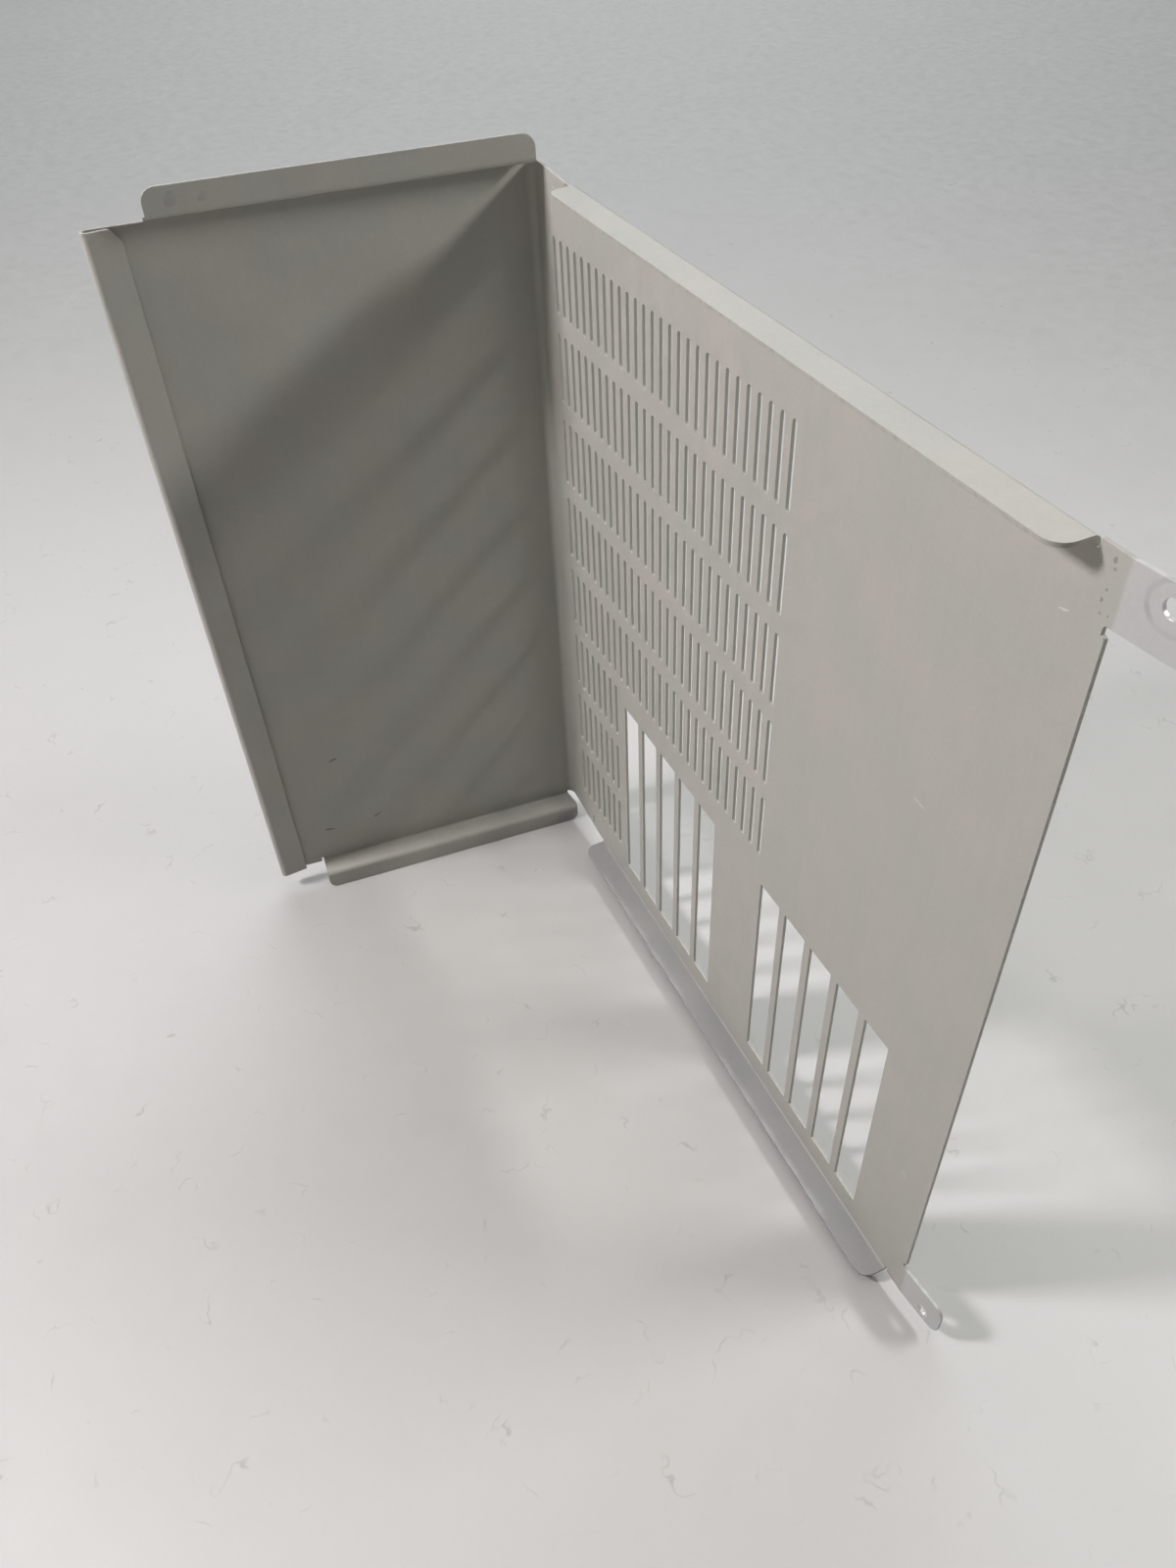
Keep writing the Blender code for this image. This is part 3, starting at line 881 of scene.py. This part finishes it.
# Flakes lost beside the top tab's crease: below the tab's top, back from the free edge, and
# half the width
CREASE_FLAKES = (
    (2.0, 3.0, 0.60),
    (4.0, 2.5, 0.35),
    (9.0, 3.0, 0.35),
    (11.5, 3.5, 0.45),
    (14.0, 1.0, 0.25),
    (14.5, 3.0, 0.30),
)
FLAKE_HEIGHT = 1.5             # between a flake's two ends, as a multiple of half its width

# Where the marks, the changes of tone, the painted shade and the painted sheen lie
FLANGE_EDGE = -11.8            # a flange's free edge, along VENT_OUT
LIP_FACE = -LEDGE_DEPTH / MM   # along WING_OUT
TAB_TOP_HEIGHT = (TAB_TOP - CORNER.z) / MM
WASHER_RADIUS = 5.7            # of the ring that a washer left on the top tab
WASHER_FADE = (0.9, 0.2)       # from the ring's middle: where it starts, where it is full
TAB_SHEEN_FADE = (0.2, 1.6)          # the tabs' painted sheen comes in over this stretch past the free edge
FOOT_SHADE_REACH = (14.0, 13.0)      # the painted shade ends between these, just past the flange
FOOT_SHADE_FADE = (1.0, 0.4)         # and between these, above the bottom flange
FLANGE_TOP = (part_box("vent_bottom_flange")[0].z - CORNER.z + SHEET) / MM


class Shade:
    """A material in the making; its methods add a node each and return what it gives."""

    def __init__(self, name):
        self.material = bpy.data.materials.new(name)
        self.material.use_nodes = True
        self.tree = self.material.node_tree
        self.surface = self.tree.nodes["Principled BSDF"]
        where = self.tree.nodes.new("ShaderNodeTexCoord").outputs["Object"]
        self.place = self.scaled(self.vector("SUBTRACT", where, tuple(CORNER)), 1.0 / MM)

    def feed(self, socket, value):
        if isinstance(value, bpy.types.NodeSocket):
            self.tree.links.new(value, socket)
        else:
            socket.default_value = value

    def math(self, operation, *values):
        node = self.tree.nodes.new("ShaderNodeMath")
        node.operation = operation
        for socket, value in zip(node.inputs, values):
            self.feed(socket, value)
        return node.outputs[0]

    def vector(self, operation, *values):
        node = self.tree.nodes.new("ShaderNodeVectorMath")
        node.operation = operation
        for socket, value in zip(node.inputs, values):
            self.feed(socket, value)
        return node.outputs["Value" if operation == "DISTANCE" else "Vector"]

    def scaled(self, vector, factor):
        node = self.tree.nodes.new("ShaderNodeVectorMath")
        node.operation = "SCALE"
        self.feed(node.inputs[0], vector)
        self.feed(node.inputs["Scale"], factor)
        return node.outputs["Vector"]

    def part(self, axis):
        """How far the place lies along one axis."""
        node = self.tree.nodes.new("ShaderNodeSeparateXYZ")
        self.feed(node.inputs[0], self.place)
        return node.outputs[axis]

    def remap(self, value, low, high, to_low=0.0, to_high=1.0):
        """A smooth step from one value to another between low and high."""
        node = self.tree.nodes.new("ShaderNodeMapRange")
        node.interpolation_type = "SMOOTHSTEP"
        for socket, number in zip(node.inputs, (value, low, high, to_low, to_high)):
            self.feed(socket, number)
        return node.outputs[0]

    def noise(self, size, detail, stretch=(1.0, 1.0, 1.0), shift=0.0):
        """Noise whose features are about size across, longer where stretch is more than 1."""
        node = self.tree.nodes.new("ShaderNodeTexNoise")
        factors = tuple(1.0 / (size * s) for s in stretch)
        place = self.vector("MULTIPLY", self.place, factors)
        self.feed(node.inputs["Vector"], self.vector("ADD", place, (shift, shift, shift)))
        node.inputs["Scale"].default_value = 1.0
        node.inputs["Detail"].default_value = detail
        return node.outputs[0]

    def speckle(self, cell, radius, share):
        """Round specks: one place in each cell, and only in a share of the cells."""
        node = self.tree.nodes.new("ShaderNodeTexVoronoi")
        self.feed(node.inputs["Vector"], self.place)
        node.inputs["Scale"].default_value = 1.0 / cell
        near = self.remap(node.outputs["Distance"], radius / cell, MARK_CORE * radius / cell)
        parts = self.tree.nodes.new("ShaderNodeSeparateColor")
        self.feed(parts.inputs[0], node.outputs["Color"])
        return self.math("MULTIPLY", near, self.math("LESS_THAN", parts.outputs[0], share))

    def blend(self, share, base, other):
        node = self.tree.nodes.new("ShaderNodeMix")
        node.data_type = "RGBA"
        factor, first, second = node.inputs[0], node.inputs[6], node.inputs[7]
        self.feed(factor, share)
        self.feed(first, base)
        self.feed(second, other)
        return node.outputs[2]

    def cover(self, colour, mask, share, over):
        """The colour with another one over it inside the mask, by at most that share."""
        return self.blend(self.math("MULTIPLY", mask, share), colour, over)

    def attribute(self, label):
        node = self.tree.nodes.new("ShaderNodeAttribute")
        node.attribute_name = label
        return node.outputs["Fac"]

    def mark(self, place, first, second, half_width):
        """1 inside a narrow ellipse about two points, found from the sum of two distances."""
        reach = self.math("ADD", self.vector("DISTANCE", place, tuple(first)),
                          self.vector("DISTANCE", place, tuple(second)))
        half_length = (first - second).length / 2.0
        rim = 2.0 * math.hypot(half_length, MARK_RIM * half_width)
        core = 2.0 * math.hypot(half_length, MARK_CORE * half_width)
        return self.remap(reach, rim, core)

    def marks(self, place, table, direction, shift=Vector()):
        """All marks of one table together, on the face that runs in that direction."""
        total = 0.0
        for along, height, along_end, height_end, half_width in table:
            first = direction * along + UP * height + shift
            second = direction * along_end + UP * height_end + shift
            mask = self.mark(place, first, second, half_width)
            total = self.math("MAXIMUM", total, mask)
        return total

    def ragged(self, size, amount):
        """The place, shaken by noise, so that a mark's outline is uneven."""
        node = self.tree.nodes.new("ShaderNodeTexNoise")
        self.feed(node.inputs["Vector"], self.place)
        node.inputs["Scale"].default_value = 1.0 / size
        shake = self.vector("SUBTRACT", node.outputs["Color"], (0.5, 0.5, 0.5))
        return self.vector("ADD", self.place, self.scaled(shake, amount))

    def varied(self, *changes):
        """A factor about 1, from pairs of a noise and how far it moves the factor in all."""
        level = 1.0
        for value, amount in changes:
            change = self.math("MULTIPLY", self.math("SUBTRACT", value, 0.5), amount)
            level = self.math("ADD", level, change)
        return level

    def relief(self, height, depth):
        """Bump from a height between 0 and 1 that stands for depth millimetres."""
        node = self.tree.nodes.new("ShaderNodeBump")
        node.inputs["Strength"].default_value = 1.0
        node.inputs["Distance"].default_value = depth * MM
        self.feed(node.inputs["Height"], height)
        self.feed(self.surface.inputs["Normal"], node.outputs["Normal"])


def crease_chips():
    """The flakes beside the top tab's crease, each a little taller than it is wide."""
    chips = []
    for below, back, half_width in CREASE_FLAKES:
        along = VENT_WIDTH / MM - back
        height = TAB_TOP_HEIGHT - below
        chips.append((along, height, along, height - FLAKE_HEIGHT * half_width, half_width))
    return tuple(chips)


def tab_sheen_mask(shade):
    """1 on the tabs, past their crease, where the painted sheen goes."""
    free_edge = -VENT_WIDTH / MM
    return shade.remap(shade.part("Y"), free_edge - TAB_SHEEN_FADE[0], free_edge - TAB_SHEEN_FADE[1])


def foot_shade_mask(shade):
    """1 on the bottom flange, below the vented field, where the painted shade goes."""
    beside = shade.remap(shade.part("X"), -FOOT_SHADE_REACH[0], -FOOT_SHADE_REACH[1])
    low = shade.remap(shade.part("Z"), FLANGE_TOP + FOOT_SHADE_FADE[0], FLANGE_TOP + FOOT_SHADE_FADE[1])
    return shade.math("MULTIPLY", beside, low)


def washer_mask(shade):
    """1 on the ring that a washer left round the top tab's hole."""
    along = (VENT_WIDTH + HOLE_ALONG) / MM
    centre = ALONG_VENT * along + UP * (TAB_TOP_HEIGHT - HOLE_FROM_END / MM)
    distance = shade.vector("DISTANCE", shade.place, tuple(centre))
    off = shade.math("ABSOLUTE", shade.math("SUBTRACT", distance, WASHER_RADIUS))
    return shade.remap(off, *WASHER_FADE)


def painted(shade, grain, blotches):
    """The clean paint: blotches, a fine grain, faint upright streaks and the washer's ring, with
    a painted shade on the bottom flange and a painted sheen on the tabs.
    """
    # painted shade: the bottom flange darker and greyer where the vented side shades it
    colour = shade.blend(foot_shade_mask(shade), PAINT, FOOT_PAINTED_SHADE)
    # painted sheen: the tabs paler and cooler past their crease
    colour = shade.blend(tab_sheen_mask(shade), colour, TAB_PAINTED_SHEEN)
    patches = shade.noise(size=30.0, detail=2.0, shift=31.0)
    streaks = shade.noise(size=3.2, detail=1.0, stretch=(1.0, 1.0, 18.0))
    level = shade.varied((patches, 0.10), (blotches, 0.09), (grain, 0.10), (streaks, 0.05))
    warm = shade.remap(patches, low=0.38, high=0.62)
    tint = shade.blend(warm, COOL_TINT, WARM_TINT)
    colour = shade.scaled(shade.vector("MULTIPLY", colour, tint), level)
    share = shade.remap(blotches, low=0.3, high=0.7, to_low=0.1, to_high=0.5)
    return shade.cover(colour, washer_mask(shade), share, SMUDGE)


def marked(shade, colour, blotches):
    """The colour with its smudges, scuffs, specks, chips and scratches, and the chips' mask."""
    ragged = shade.ragged(size=0.9, amount=0.7)
    smudges = shade.marks(ragged, LIP_SMUDGES, ALONG_WING, WING_OUT * LIP_FACE)
    share = shade.remap(blotches, low=0.35, high=0.6, to_low=0.1, to_high=0.6)
    colour = shade.cover(colour, smudges, share, SMUDGE)
    scuffs = shade.marks(ragged, WING_SCUFFS, ALONG_WING)
    colour = shade.cover(colour, scuffs, SCUFF_COVER, GRIME)
    specks = shade.speckle(cell=17.0, radius=0.42, share=0.3)
    colour = shade.cover(colour, specks, SPECK_COVER, SCUFF)
    chips = shade.math("MAXIMUM", shade.marks(ragged, crease_chips() + CORNER_DIRT, ALONG_VENT),
                       shade.marks(ragged, FLANGE_CHIPS, ALONG_VENT, VENT_OUT * FLANGE_EDGE))
    chips = shade.math("MULTIPLY", chips, CHIP_COVER)
    colour = shade.blend(chips, colour, SCUFF)
    scratches = shade.marks(ragged, VENT_SCRATCHES + CORNER_CHIPS, ALONG_VENT)
    return shade.cover(colour, scratches, SCRATCH_COVER, SCRATCH), chips


def worn(shade, colour):
    """The colour with its cut edges worn, and the mask of where bare metal shows."""
    edge = shade.attribute("cut_edge")
    wear = shade.noise(size=2.6, detail=2.0, shift=4.0)
    dulled = shade.remap(wear, low=0.45, high=0.7, to_low=0.05, to_high=0.4)
    colour = shade.cover(colour, edge, dulled, SCUFF)
    rubbed = shade.remap(wear, low=0.70, high=0.76, to_high=0.8)
    bare = shade.math("MAXIMUM", shade.attribute("bare_hole"),
                      shade.math("MULTIPLY", edge, rubbed))
    return shade.blend(bare, colour, BARE_STEEL), bare


def paint_material():
    """Old semi-gloss grey paint: grained, scuffed, chipped, worn along the cut edges."""
    shade = Shade("painted_sheet")
    grain = shade.noise(size=1.2, detail=1.0)
    blotches = shade.noise(size=7.0, detail=2.0)
    colour = painted(shade, grain, blotches)
    colour, chips = marked(shade, colour, blotches)
    colour, bare = worn(shade, colour)
    shade.feed(shade.surface.inputs["Base Color"], colour)
    shade.feed(shade.surface.inputs["Metallic"], shade.math("MULTIPLY", bare, BARE_METALLIC))
    rough = shade.remap(blotches, low=0.3, high=0.7, to_low=0.42, to_high=0.56)
    rough = shade.math("ADD", rough, shade.math("MULTIPLY", chips, CHIP_ROUGHER))
    rough = shade.math("SUBTRACT", rough, shade.math("MULTIPLY", bare, BARE_SMOOTHER))
    shade.feed(shade.surface.inputs["Roughness"], rough)
    shade.relief(grain, depth=0.012)
    return shade.material


def floor_material():
    """A plain pale table top with the faintest blotches and a few hair-thin stains."""
    shade = Shade("pale_floor")
    blotches = shade.noise(size=16.0, detail=2.0, shift=3.0)
    patches = shade.noise(size=110.0, detail=2.0)
    grain = shade.noise(size=1.8, detail=1.0)
    level = shade.varied((patches, 0.06), (blotches, 0.06), (grain, 0.03))
    colour = shade.scaled(FLOOR, level)
    veins = shade.noise(size=26.0, detail=3.0)
    off = shade.math("ABSOLUTE", shade.math("SUBTRACT", veins, 0.5))
    sparse = shade.remap(blotches, low=0.55, high=0.72)
    stain = shade.math("MULTIPLY", shade.remap(off, low=0.012, high=0.0), sparse)
    specks = shade.speckle(cell=21.0, radius=0.6, share=0.25)
    stain = shade.math("MAXIMUM", shade.math("MULTIPLY", stain, STAIN_COVER),
                       shade.math("MULTIPLY", specks, FLOOR_SPECK_COVER))
    shade.feed(shade.surface.inputs["Base Color"], shade.blend(stain, colour, STAIN))
    rough = shade.remap(blotches, low=0.3, high=0.7, to_low=0.46, to_high=0.58)
    shade.feed(shade.surface.inputs["Roughness"], rough)
    shade.relief(grain, depth=0.02)
    return shade.material


# Stage --------

FLOOR_SIZE = 14.0
SENSOR_HEIGHT = 36.0                                     # millimetres, as the lens is
LENS = 27.332
CLIP = (0.01, 50.0)
CAMERA_FROM_CORNER = Vector((-0.1685, -0.4279, 0.4458))
CAMERA_HEADING = math.radians(-22.47)                    # counterclockwise from +Y
CAMERA_DOWN = math.radians(43.16)
CAMERA_ROLL = math.radians(-3.11)
WORLD_COLOUR = (0.95, 0.97, 1.0, 1.0)
WORLD_STRENGTH = 0.02

# Area lamps: name, place from the corner, the place it faces, size along the vented side and
# across it, watts, colour. The key shines past and through the vented side onto the wing. Left
# is small and high, beyond the hem; low is broad, warm and on the same side; back hangs over
# the floor behind the cover.
LAMPS = (
    ("key", (0.573, -0.485, 0.72), (-0.05, -0.1, 0.12), (0.34, 0.09), 4.25, (1.0, 0.98, 0.97)),
    ("left", (-0.8, 0.08, 0.85), (0.0, -0.15, 0.15), (0.16, 0.16), 9.8, (1.0, 0.95, 0.985)),
    ("low", (-1.4, 0.3, 0.45), (0.0, -0.15, 0.15), (1.2, 0.6), 2.6, (1.0, 0.88, 0.76)),
    ("back", (1.0, 2.4, 2.4), (1.0, 2.4, 0.0), (3.0, 3.0), 76.0, (0.90, 0.94, 1.0)),
)
SKY_STRENGTH = 0.7             # a broad soft light from straight above
SKY_ANGLE = 0.5                # radians
SKY_COLOUR = (1.0, 1.0, 0.93)


def add_floor(material):
    mesh = bpy.data.meshes.new("floor")
    half = FLOOR_SIZE / 2.0
    corners = [(-half, -half), (half, -half), (half, half), (-half, half)]
    mesh.from_pydata([(x, y, CORNER.z) for x, y in corners], [], [(0, 1, 2, 3)])
    mesh.materials.append(material)
    floor = bpy.data.objects.new("floor", mesh)
    bpy.context.scene.collection.objects.link(floor)


def add_camera():
    data = bpy.data.cameras.new("camera")
    data.sensor_fit = "VERTICAL"
    data.sensor_height = SENSOR_HEIGHT
    data.lens = LENS
    data.clip_start, data.clip_end = CLIP
    camera = bpy.data.objects.new("camera", data)
    bpy.context.scene.collection.objects.link(camera)
    turn = Matrix.Rotation(CAMERA_HEADING, 4, "Z")
    tip = Matrix.Rotation(RIGHT_ANGLE - CAMERA_DOWN, 4, "X")
    roll = Matrix.Rotation(CAMERA_ROLL, 4, "Z")
    camera.matrix_world = Matrix.Translation(CORNER + CAMERA_FROM_CORNER) @ turn @ tip @ roll
    bpy.context.scene.camera = camera


def add_lamp(name, from_corner, target, size, watts, colour):
    """An area light; the first of its sizes runs along the vented side as far as it can."""
    data = bpy.data.lights.new(name, "AREA")
    data.shape = "RECTANGLE"
    data.size, data.size_y = size
    data.energy = watts
    data.color = colour
    lamp = bpy.data.objects.new(name, data)
    bpy.context.scene.collection.objects.link(lamp)
    back = (Vector(from_corner) - Vector(target)).normalized()
    wide = (ALONG_VENT - back * back.dot(ALONG_VENT)).normalized()
    turn = Matrix((wide, back.cross(wide), back)).transposed().to_4x4()
    lamp.matrix_world = Matrix.Translation(CORNER + Vector(from_corner)) @ turn


def add_lights():
    for lamp in LAMPS:
        add_lamp(*lamp)
    sky = bpy.data.lights.new("above", "SUN")
    sky.energy = SKY_STRENGTH
    sky.angle = SKY_ANGLE
    sky.color = SKY_COLOUR
    bpy.context.scene.collection.objects.link(bpy.data.objects.new("above", sky))
    world = bpy.data.worlds.new("studio")
    world.use_nodes = True
    background = world.node_tree.nodes["Background"]
    background.inputs["Color"].default_value = WORLD_COLOUR
    background.inputs["Strength"].default_value = WORLD_STRENGTH
    bpy.context.scene.world = world


# Making --------

def main():
    add_camera()
    add_lights()
    add_floor(floor_material())
    paint = paint_material()
    for strip in all_strips():
        piece = strip.build(paint)
        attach(piece, "root")
        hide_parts(strip.name.removesuffix("_sheet"))
    bpy.context.scene.view_settings.view_transform = "Standard"


main()
